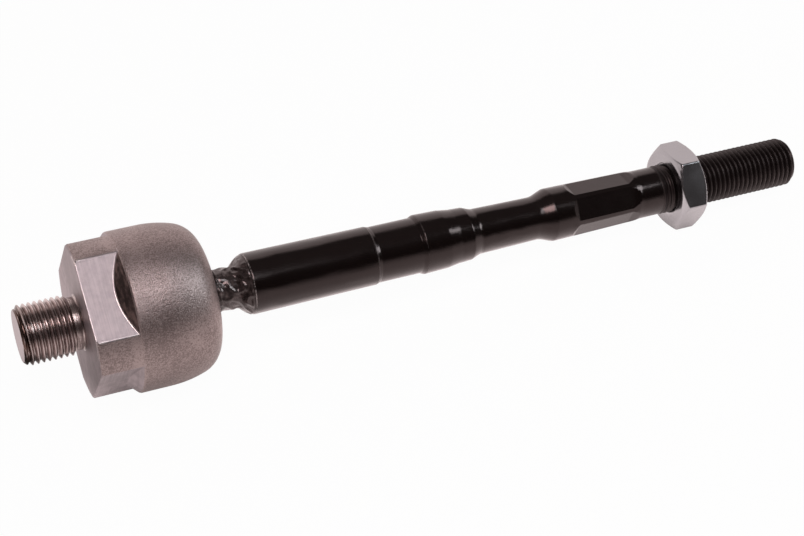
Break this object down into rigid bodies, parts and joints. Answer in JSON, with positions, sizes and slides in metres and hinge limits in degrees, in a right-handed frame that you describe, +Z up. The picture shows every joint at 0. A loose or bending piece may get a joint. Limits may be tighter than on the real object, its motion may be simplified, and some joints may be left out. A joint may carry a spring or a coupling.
{
  "type": "inner tie rod",
  "caption": "Inner tie rod of a rack-and-pinion steering: ball housing with a threaded stud and wrench flats, forged rod with boot groove and hex grip, outer thread with lock nut",
  "frame": {"origin": "the centre of the ball, which is the point the rod pivots about", "axes": "+X along the rod from the ball to the outer thread, +Z up, the rack stud points along -X"},
  "size_m": [0.228, 0.043, 0.043],
  "materials": {
    "housing_steel": "bare forged steel, milled on the flats and the front face, threaded stud rolled bright",
    "shell_plastic": "natural acetal",
    "black_rod": "gloss black coating over forged steel",
    "plated_nut": "satin zinc plate"
  },
  "bodies": {
    "housing": {"ball_housing": "housing_steel"},
    "shell": {"bearing_shell": "shell_plastic"},
    "rod": {"tie_rod": "black_rod"},
    "nut": {"lock_nut": "plated_nut"}
  },
  "joints": [
    {"name": "rod_turn", "type": "hinge", "parent": "housing", "child": "shell", "pos_m": [0, 0, 0], "axis": [1, 0, 0], "continuous": true},
    {"name": "rod_swing", "type": "hinge", "parent": "shell", "child": "rod", "pos_m": [0, 0, 0], "axis": [0, 0, 1], "range_deg": [-25, 25]},
    {"name": "nut_turn", "type": "hinge", "parent": "rod", "child": "nut", "pos_m": [0.15285, 0, 0], "axis": [1, 0, 0], "continuous": true}
  ]
}
